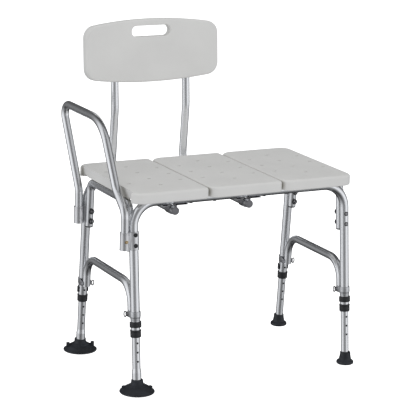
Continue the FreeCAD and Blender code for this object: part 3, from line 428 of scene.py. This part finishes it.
def make_collar(name, side_y):
    """A moulded bush with a lip above and two grooves."""
    low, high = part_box("leg_collar_" + name)
    middle = (low[2] + high[2]) / 2 / MM
    half = 10.3
    bore = 11.45
    ring = [
        (bore, -half), (14.2, -half, 0.8), (14.8, -half + 1.6, 0.4), (14.8, -half + 3.0, 0.3),
        (14.4, -half + 3.5, 0.3), (14.4, -half + 4.3, 0.3), (14.8, -half + 4.8, 0.3), (14.8, 3.6, 0.3),
        (14.3, 4.2, 0.3), (14.3, 5.0, 0.3), (15.2, 5.8, 0.4), (15.2, half - 0.6, 0.7), (13.8, half, 0.5),
        (TUBE + 0.02, half), (TUBE + 0.02, -half + 3.0), (bore, -half + 3.0),
    ]
    build = Builder()
    build.lathe(ring, leg_frame(name, side_y, middle))
    build.piece("collar_" + name, "black_plastic", "bench", ("leg_collar_" + name,))


def make_clip(name, side_y):
    """A U-shaped clip with thickened, rounded arm ends and a boss over its pin."""
    where = leg_frame(name, side_y, CLIP_HEIGHT) @ turned(0 if side_y < 0 else 180, "Z")
    outer, inner, arm, half_width = 16.2, 13.05, 4.0, 7.75
    steps = 24
    outline = []
    for step in range(steps + 1):
        angle = math.pi + math.pi * step / steps
        outline.append((outer * math.cos(angle), outer * math.sin(angle)))
    arm_end = [(outer, arm - 1.4), (outer - 0.5, arm - 0.3), (inner + 0.9, arm), (inner + 0.1, arm - 0.8)]
    outline += arm_end
    for step in range(steps + 1):
        angle = -math.pi * step / steps
        outline.append((inner * math.cos(angle), inner * math.sin(angle)))
    outline += [(-x, y) for x, y in reversed(arm_end)]
    build = Builder()
    build.prism(outline, -half_width, half_width, where, 0.6)
    pin = where @ shift(0, -outer + 0.2, 0) @ turned(90, "X")
    build.lathe([
        (0, -2.0), (5.4, -2.0), (5.4, 0.1, 0.4), (4.6, 0.8, 0.4), (2.2, 0.8, 0.3), (1.9, 0.3, 0.2), (0, 0.3),
    ], pin, steps=32)
    build.lathe([(0, -4.3), (2.4, -4.3, 0.5), (2.8, -3.6), (2.8, -1.0), (0, -1.0)], pin, steps=24)
    build.piece("clip_" + name, "black_plastic", "clip_" + name, ("height_clip_" + name,))


def make_bore_shade(name, side_y):
    """A dark sleeve in the drilled tube's bore, behind its row of holes, paints the shade inside the tube.
    """
    inside, outside = 8.6, 9.75
    build = Builder()
    build.lathe([
        (inside, BORE_SHADE_BOTTOM), (outside, BORE_SHADE_BOTTOM), (outside, BORE_SHADE_TOP), (inside, BORE_SHADE_TOP),
    ], leg_frame(name, side_y, 0.0), steps=40)
    build.piece("bore_shade_" + name, "black_plastic", "leg_" + name)


def make_cup(side):
    """A suction cup: skirt with a rolled rim, ribbed shoulder, neck ring and two pull tabs."""
    node = "suction_cup_" + side
    middle = box_middle(node)
    where = Matrix.Translation(Vector((middle.x, middle.y, 0.0)))
    build = Builder()
    build.lathe([
        (0.0, 12.0), (16.0, 11.0, 4.0), (32.0, 7.0, 4.0), (42.0, 0.4, 1.0), (46.4, 0.0, 0.8),
        (48.2, 1.4, 1.2), (48.1, 4.4, 1.4), (44.8, 6.2, 1.5), (42.4, 8.0, 3.0), (36.0, 13.6, 5.0),
        (30.0, 17.2, 4.0),
        (25.0, 18.6, 1.0), (24.6, 20.4, 0.8), (20.0, 22.2, 3.0), (17.4, 26.0, 2.0), (16.4, 30.6, 0.6),
        (16.4, 34.6, 0.8), (15.2, 36.0, 0.8), (13.2, 36.0, 0.2), (13.2, 20.5), (0.0, 20.5),
    ], where, steps=96)
    turn, lean, tip = PULL_TABS[side]
    root_radius, root_height = 35.4, 9.0
    for half_turn in (0, 180):
        root = where @ turned(turn + half_turn, "Z") @ shift(root_radius, 0, root_height)
        tab = root @ turned(lean, "Y") @ shift(0, 0, -root_height) @ turned(90, "X") @ turned(90, "Y")
        outline = soften([(-6.0, 8.0, 0.5), (6.0, 8.0, 0.5), (5.6, tip, 4.6), (-5.6, tip, 4.6)])
        build.prism(outline, -4.6, 4.6, tab, 1.5, 4)
    build.piece("cup_" + side, "black_rubber", "leg_%s_left" % side, (node,))


def make_tip(side):
    """A ferrule: grooved sleeve, cone and a broad flange with a worn lower edge."""
    node = "rubber_tip_" + side
    middle = box_middle(node)
    where = Matrix.Translation(Vector((middle.x, middle.y, 0.0)))
    build = Builder()
    build.lathe([
        (0.0, 0.6), (17.0, 0.6, 0.3), (17.6, 0.0, 0.3), (21.6, 0.0, 0.8), (24.2, 1.6, 1.0), (24.6, 4.4, 1.2),
        (24.0, 8.0, 1.2), (21.4, 10.4, 1.4), (18.4, 12.0, 1.6), (17.3, 15.4, 1.4), (16.2, 20.6, 0.5),
        (15.7, 20.8, 0.4), (15.9, 21.8, 0.4), (15.4, 25.6, 0.5), (14.9, 26.4, 0.4), (15.1, 27.4, 0.4),
        (14.8, 33.6, 0.9), (13.6, 35.0, 0.8), (12.9, 35.0, 0.2), (12.9, 20.5), (0.0, 20.5),
    ], where, steps=72)
    build.piece("tip_" + side, "black_rubber", "leg_%s_right" % side, (node,))


# ---------------------------------------------------------------------------------------------
# fasteners
# ---------------------------------------------------------------------------------------------
def make_bolts():
    """Domed bolt heads on black washers outside; round nuts with two metal inserts inside."""
    heads = Builder()
    # the steel heads on the bracketed left legs are drawn in black plastic: a painted dark reflection
    reflection_dark_heads = Builder()
    washers = Builder()
    nuts = Builder()
    inserts = Builder()
    reach = INNER_OFFSET + INNER_TUBE
    insert_radius, insert_half_sweep, insert_steps = 4.6, 66, 12
    for name, side_x, side_y in LEGS:
        has_bracket = side_x < 0
        face = TUBE + (BRACKET_WALL if has_bracket else 0.0)
        for height in BOLT_HEIGHTS:
            out = leg_frame(name, side_y, height) @ turned(-side_y * 90, "X")
            (reflection_dark_heads if has_bracket else heads).lathe([
                (0.0, face - 8.0), (2.9, face - 8.0), (2.9, face + 0.6), (4.6, face + 0.8, 0.3),
                (4.5, face + 2.2, 1.2), (3.2, face + 3.5, 1.0), (1.9, face + 3.6, 0.2),
                (1.5, face + 2.2, 0.2), (0.0, face + 2.2),
            ], out, steps=32)
            washers.lathe([
                (3.0, face - 0.7), (5.9, face - 0.7), (6.0, face + 0.9, 0.5), (4.8, face + 1.3, 0.4),
                (3.0, face + 1.3),
            ], out, steps=40)
            nuts.lathe([
                (0.0, -reach - 0.1), (7.4, -reach - 0.1, 0.5), (8.0, -reach - 1.4, 0.8),
                (8.0, -reach - 5.2, 0.8), (6.9, -reach - 6.4, 0.6), (5.3, -reach - 6.4, 0.3),
                (5.2, -reach - 5.0, 0.3), (0.0, -reach - 5.0),
            ], out, steps=48)
            plate = out @ turned(25 + 20 * side_x, "Z")
            for sign in (-1, 1):
                outline = []
                for step in range(insert_steps + 1):
                    angle = math.radians(insert_half_sweep * (2 * step / insert_steps - 1))
                    spot = Vector((math.cos(angle), math.sin(angle)))
                    outline.append(spot * (sign * insert_radius))
                inserts.prism(outline, -reach - 6.2, -reach - 4.6, plate, 0.3)
    heads.piece("bolt_heads", "screw_steel", "bench", ("rail_bolts",))
    # black plastic on these steel heads is a painted dark reflection
    reflection_dark_heads.piece("bolt_heads_painted_reflection", "black_plastic", "bench")
    washers.piece("bolt_washers", "black_plastic", "bench")
    nuts.piece("round_nuts", "black_plastic", "bench", ("rail_nuts",))
    inserts.piece("nut_inserts", "screw_steel", "bench")


def make_straps():
    """Saddle straps round the legs, with two ears that grip the brace, and ring-ended screws."""
    straps = Builder()
    screws = Builder()
    rings = Builder()
    ring_across, ring_up, ring_steps = 7.6, 3.4, 28
    band = [
        (TUBE + 0.1, -16.0), (TUBE + 0.5, -16.0, 0.2), (TUBE + 1.0, -9.0, 1.5), (TUBE + 2.2, -4.6, 0.8),
        (TUBE + 2.3, 9.2, 0.4), (TUBE + 1.7, 9.8, 0.3), (TUBE + 0.1, 9.8),
    ]
    ear_outline = soften([
        (-7.0, -22.0, 6.0), (-4.6, -30.0, 5.0), (4.6, -30.0, 5.0), (7.0, -22.0, 6.0), (7.4, -1.0),
        (-9.6, -1.0),
    ])
    for name, _, side_y in LEGS:
        where = leg_frame(name, side_y, STRAP_HEIGHT) @ turned(0 if side_y < 0 else 180, "Z")
        straps.lathe(band, where, (160.0, 380.0), 48)
        ear = where @ turned(90, "Y") @ turned(180, "X")
        for side in (-1, 1):
            near, far = sorted((side * (TUBE + 0.5), side * (TUBE + 2.2)))
            straps.prism(ear_outline, near, far, ear, 0.3)
        hub = where @ shift(0, INNER_OFFSET, 0) @ turned(-90, "Y")
        screws.lathe([
            (0.0, -18.4), (2.4, -18.4, 0.5), (2.9, -17.4), (2.9, TUBE), (5.0, TUBE + 2.2, 0.3),
            (4.8, TUBE + 3.6, 0.8), (0.0, TUBE + 4.0),
        ], hub, steps=36)
        screws.lathe([(2.95, -14.9), (5.2, -14.9, 0.3), (5.2, -17.6, 0.6), (2.95, -18.0)], hub, steps=6)
        ring = []
        for step in range(ring_steps):
            angle = 2 * math.pi * step / ring_steps
            ring.append((ring_across * math.cos(angle), 0.0, TUBE + 6.4 + ring_up * math.sin(angle)))
        rings.wire(ring, 1.5, hub)
    straps.piece("leg_straps", "strap_steel", "bench", ("brace_straps",))
    screws.piece("ring_screws", "screw_steel", "bench", ("brace_wing_screws",))
    rings.piece("screw_rings", "screw_steel", "bench", finish="dark_steel")


def make_tongues():
    """A moulded tongue closes the seam between neighbouring seat panels."""
    half_width, end_gap = 0.8, 34.0
    build = Builder()
    for left, right in (("left", "middle"), ("middle", "right")):
        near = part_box("seat_panel_" + left)
        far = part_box("seat_panel_" + right)
        middle = Vector(((near[1][0] + far[0][0]) / 2, (near[0][1] + near[1][1]) / 2, near[1][2]))
        half = (near[1][1] - near[0][1]) / 2 / MM - end_gap
        outline = [(-half_width, -half), (half_width, -half), (half_width, half), (-half_width, half)]
        build.prism(outline, -26.0, -7.5, Matrix.Translation(middle))
    build.piece("seat_tongues", "seat_plastic", "bench")


def make_tube_caps():
    """Stepped caps in the front ends of the back tubes."""
    cap_height = 3.0
    low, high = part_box("back_tube_plugs")
    for side in ("left", "right"):
        middle_x = box_middle("back_tube_" + side).x
        spot = Vector((middle_x, low[1] + cap_height * MM, (low[2] + high[2]) / 2))
        face = Matrix.Translation(spot) @ turned(90, "X")
        build = Builder()
        build.lathe([
            (0.0, -12.0), (9.6, -12.0, 0.5), (9.8, -10.0), (9.8, 0.0), (11.1, 0.0, 0.2), (11.1, 1.4, 0.8),
            (9.9, 2.9, 0.7), (8.6, 2.9, 0.3), (8.1, 1.9, 0.4), (3.0, 2.3, 1.0), (0.0, 2.4),
        ], face, steps=48)
        nodes = ("back_tube_plugs",) if side == "left" else ()
        build.piece("tube_cap_" + side, "grey_plastic", "backrest", nodes)


def make_rail_plugs():
    """Rounded plugs in the lower ends of the side rails."""
    build = Builder()
    for name, _, side_y in LEGS:
        where = leg_frame(name, side_y, RAIL_END_HEIGHT) @ shift(0, -side_y * INNER_OFFSET, 0)
        build.lathe([
            (0.0, -2.2), (4.0, -2.4, 1.0), (9.6, -2.0, 0.8), (INNER_TUBE, -0.8, 0.5), (INNER_TUBE, 0.2),
            (9.8, 0.2), (9.8, 8.0), (0.0, 8.0),
        ], where, steps=48)
    build.piece("rail_end_plugs", "black_plastic", "bench", ("side_rail_plugs",))


# ---------------------------------------------------------------------------------------------
# arm rest sockets
# ---------------------------------------------------------------------------------------------
def make_sockets():
    """Rims and button frames on the cast double sleeves."""
    rims = Builder()
    frames = Builder()
    lower_rim, upper_rim = 3.0, 3.4
    for side, side_y in (("front", -1), ("rear", 1)):
        low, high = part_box("arm_bracket_" + side)
        button = box_middle("arm_button_" + side)
        bottom, top = low[2] / MM, high[2] / MM
        arm_y = button.y - side_y * BUTTON_REACH * MM
        for level, reach in ((bottom, lower_rim), (top - upper_rim, upper_rim)):
            leg = leg_frame(side + "_left", side_y, level)
            rims.lathe([
                (TUBE + 1.6, 0.0), (TUBE + 2.4, 0.2, 0.4), (TUBE + 2.4, reach - 0.2, 0.4),
                (TUBE + 1.6, reach),
            ], leg, (20.0, 160.0) if side_y > 0 else (200.0, 340.0), 48)
            arm = Matrix.Translation(Vector((button.x, arm_y, level * MM)))
            rims.lathe([
                (INNER_TUBE + 1.6, 0.0), (INNER_TUBE + 2.7, 0.2, 0.4), (INNER_TUBE + 2.7, reach - 0.2, 0.4),
                (INNER_TUBE + 1.6, reach),
            ], arm, steps=64)
        push = Matrix.Translation(button) @ turned(-side_y * 90, "X")
        frames.lathe([(3.3, -1.6), (5.2, -1.6), (5.1, -0.2, 0.4), (3.4, 0.2, 0.3)], push, steps=32)
    rims.piece("socket_rims", "cast_metal", "bench")
    frames.piece("button_frames", "button_brass", "bench")


for leg_name, _, leg_side_y in LEGS:
    make_collar(leg_name, leg_side_y)
    make_clip(leg_name, leg_side_y)
    make_bore_shade(leg_name, leg_side_y)
for foot_side in ("front", "rear"):
    make_cup(foot_side)
    make_tip(foot_side)
make_bolts()
make_straps()
make_tongues()
make_tube_caps()
make_rail_plugs()
make_sockets()


# ---------------------------------------------------------------------------------------------
# floor, light and camera
# ---------------------------------------------------------------------------------------------
# the camera, matched to the photograph
VIEW_TURN = math.radians(-26.562)
VIEW_RISE = math.radians(13.833)
VIEW_ROLL = math.radians(1.334)
VIEW_SPOT = Vector((-2.4133, -4.818064, 1.7639))
FOCAL_PIXELS = 1967.56
FRAME_PIXELS = 416.0
SENSOR_WIDTH = 36.0

# the floor lies below the resting feet, so that it doesn't hide legs at their lowest setting
FLOOR_LEVEL = -0.03
FLOOR_GLOW = 0.86

# brightness of the surroundings that metal mirrors, from behind the object (0) round to behind
# the camera (1)
AROUND = [(0.0, 0.10), (0.25, 0.15), (0.45, 0.8), (0.66, 2.5), (0.8, 1.4), (0.92, 0.42), (1.0, 0.25)]
# and from straight down (0) to straight up (1), on the left and on the right
RISE_LEFT = [(0.0, 0.07), (0.18, 0.25), (0.32, 0.7), (0.46, 1.0), (0.7, 0.95), (0.88, 0.75), (1.0, 0.7)]
RISE_RIGHT = [(0.0, 0.07), (0.18, 0.25), (0.32, 0.55), (0.44, 1.0), (0.56, 0.95), (0.7, 0.6), (1.0, 0.4)]
# the even light on matt surfaces, by height and from left to right
FILL = [(0.0, 0.62), (0.35, 0.70), (0.5, 0.71), (1.0, 0.70)]
FILL_ACROSS = [(0.0, 1.0), (1.0, 1.04)]

WARM = (1.0, 0.97, 0.88)
COOL = (0.95, 0.97, 1.0)


def make_camera():
    """Set the camera, and return the ways that point back from the bench and to the right."""
    back = Vector((
        math.sin(VIEW_TURN) * math.cos(VIEW_RISE),
        -math.cos(VIEW_TURN) * math.cos(VIEW_RISE),
        math.sin(VIEW_RISE),
    ))
    right = Vector((math.cos(VIEW_TURN), math.sin(VIEW_TURN), 0.0))
    up = back.cross(right)
    across = right * math.cos(VIEW_ROLL) + up * math.sin(VIEW_ROLL)
    upward = up * math.cos(VIEW_ROLL) - right * math.sin(VIEW_ROLL)
    data = bpy.data.cameras.new("view_camera")
    data.sensor_width = SENSOR_WIDTH
    data.lens = SENSOR_WIDTH * FOCAL_PIXELS / FRAME_PIXELS
    data.clip_end = 100.0
    camera = bpy.data.objects.new("view_camera", data)
    SCENE.collection.objects.link(camera)
    turn = Matrix((across, upward, back)).transposed()
    camera.matrix_world = Matrix.Translation(VIEW_SPOT) @ turn.to_4x4()
    SCENE.camera = camera
    return back, right


def make_floor():
    """A pale round floor that curves up far behind everything."""
    mesh = bpy.data.meshes.new("studio_floor")
    bm = bmesh.new()
    rings = [(3.0, 0.0), (9.0, 0.0), (16.0, 0.0), (18.0, 0.3), (19.5, 1.2), (20.0, 3.0), (20.0, 9.0)]
    steps = 96
    loops = []
    for radius, height in rings:
        loop = []
        for step in range(steps):
            angle = 2 * math.pi * step / steps
            loop.append(bm.verts.new((radius * math.cos(angle), radius * math.sin(angle), height)))
        loops.append(loop)
    centre = bm.verts.new((0, 0, 0))
    for step in range(steps):
        after = (step + 1) % steps
        bm.faces.new((centre, loops[0][step], loops[0][after]))
        for low, high in zip(loops, loops[1:]):
            bm.faces.new((low[step], high[step], high[after], low[after]))
    for face in bm.faces:
        face.smooth = True
    bm.to_mesh(mesh)
    bm.free()
    floor = bpy.data.objects.new("studio_floor", mesh)
    SCENE.collection.objects.link(floor)
    floor.location.z = FLOOR_LEVEL
    made = Material("studio_floor", (0.93, 0.93, 0.93), 0.9)
    made.shader.inputs["Emission Color"].default_value = (1.0, 1.0, 1.0, 1.0)
    made.shader.inputs["Emission Strength"].default_value = FLOOR_GLOW
    mesh.materials.append(made.data)
    floor.visible_glossy = False
    floor.visible_diffuse = False


def area_light(name, spot, aim_height, size, power, color):
    """A round soft light, aimed at the bench's middle, that metal doesn't mirror."""
    data = bpy.data.lights.new(name, "AREA")
    data.shape = "DISK"
    data.size = size
    data.energy = power
    data.color = color
    lamp = bpy.data.objects.new(name, data)
    SCENE.collection.objects.link(lamp)
    lamp.location = spot
    lamp.rotation_euler = (Vector((0, 0, aim_height)) - spot).to_track_quat("-Z", "Y").to_euler()
    lamp.visible_glossy = False


def make_lights(back, right):
    front_spot = back * 4.2 + right * 1.6 + Vector((0, 0, 0.6))
    left_spot = -right * 3.6 + Vector((0, 0, 1.6))
    area_light("top_light", Vector((-0.6, -1.4, 4.2)), aim_height=0.5, size=3.4, power=13.0, color=WARM)
    area_light("front_light", front_spot, aim_height=0.4, size=2.6, power=9.0, color=COOL)
    area_light("left_light", left_spot, aim_height=0.45, size=2.2, power=5.0, color=COOL)


def make_world(back, right):
    """Studio surroundings: an even fill for matt surfaces, bright side walls for metal to mirror."""
    world = bpy.data.worlds.new("studio_world")
    world.use_nodes = True
    world.cycles.sampling_method = "NONE"
    SCENE.world = world
    tree = world.node_tree
    tree.nodes.clear()
    link = tree.links.new

    def math_node(kind, *values):
        item = tree.nodes.new("ShaderNodeMath")
        item.operation = kind
        for socket, given in zip(item.inputs, values):
            if isinstance(given, (int, float)):
                socket.default_value = given
            else:
                link(given, socket)
        return item.outputs[0]

    def ramp(fac, stops):
        item = tree.nodes.new("ShaderNodeValToRGB")
        item.color_ramp.interpolation = "B_SPLINE"
        elements = item.color_ramp.elements
        while len(elements) < len(stops):
            elements.new(0.5)
        for element, (position, level) in zip(elements, stops):
            element.position = position
            element.color = (level, level, level, 1.0)
        link(fac, item.inputs["Fac"])
        return item.outputs["Color"]

    def blend(fac, a, b):
        item = tree.nodes.new("ShaderNodeMix")
        link(fac, item.inputs["Factor"])
        link(a, item.inputs["A"])
        link(b, item.inputs["B"])
        return item.outputs["Result"]

    coords = tree.nodes.new("ShaderNodeTexCoord").outputs["Generated"]
    split = tree.nodes.new("ShaderNodeSeparateXYZ")
    link(coords, split.inputs[0])
    x, y, z = split.outputs

    def level_dot(a, b):
        """The dot product of two directions, seen from above."""
        return math_node("ADD", math_node("MULTIPLY", x, a), math_node("MULTIPLY", y, b))

    flat_back = Vector((back.x, back.y)).normalized()
    length = math_node("MAXIMUM", math_node("SQRT", level_dot(x, y)), 0.001)
    facing = math_node("DIVIDE", level_dot(*flat_back), length)
    around = ramp(math_node("MULTIPLY_ADD", facing, 0.5, 0.5), AROUND)
    rise = math_node("MULTIPLY_ADD", z, 0.5, 0.5)
    rightward = math_node("MULTIPLY_ADD", level_dot(right.x, right.y), 0.8, 0.5)
    rightward.node.use_clamp = True
    height = blend(rightward, ramp(rise, RISE_LEFT), ramp(rise, RISE_RIGHT))
    mirrored = math_node("MULTIPLY", around, height)
    fill = math_node("MULTIPLY", ramp(rise, FILL), ramp(rightward, FILL_ACROSS))
    path = tree.nodes.new("ShaderNodeLightPath")
    level = blend(path.outputs["Is Diffuse Ray"], mirrored, fill)
    light = tree.nodes.new("ShaderNodeBackground")
    light.inputs["Color"].default_value = (0.97, 0.98, 1.0, 1.0)
    link(level, light.inputs["Strength"])
    out = tree.nodes.new("ShaderNodeOutputWorld")
    link(light.outputs[0], out.inputs["Surface"])


view_back, view_right = make_camera()
make_floor()
make_world(view_back, view_right)
make_lights(view_back, view_right)
SCENE.view_settings.view_transform = "Standard"
SCENE.view_settings.look = "None"
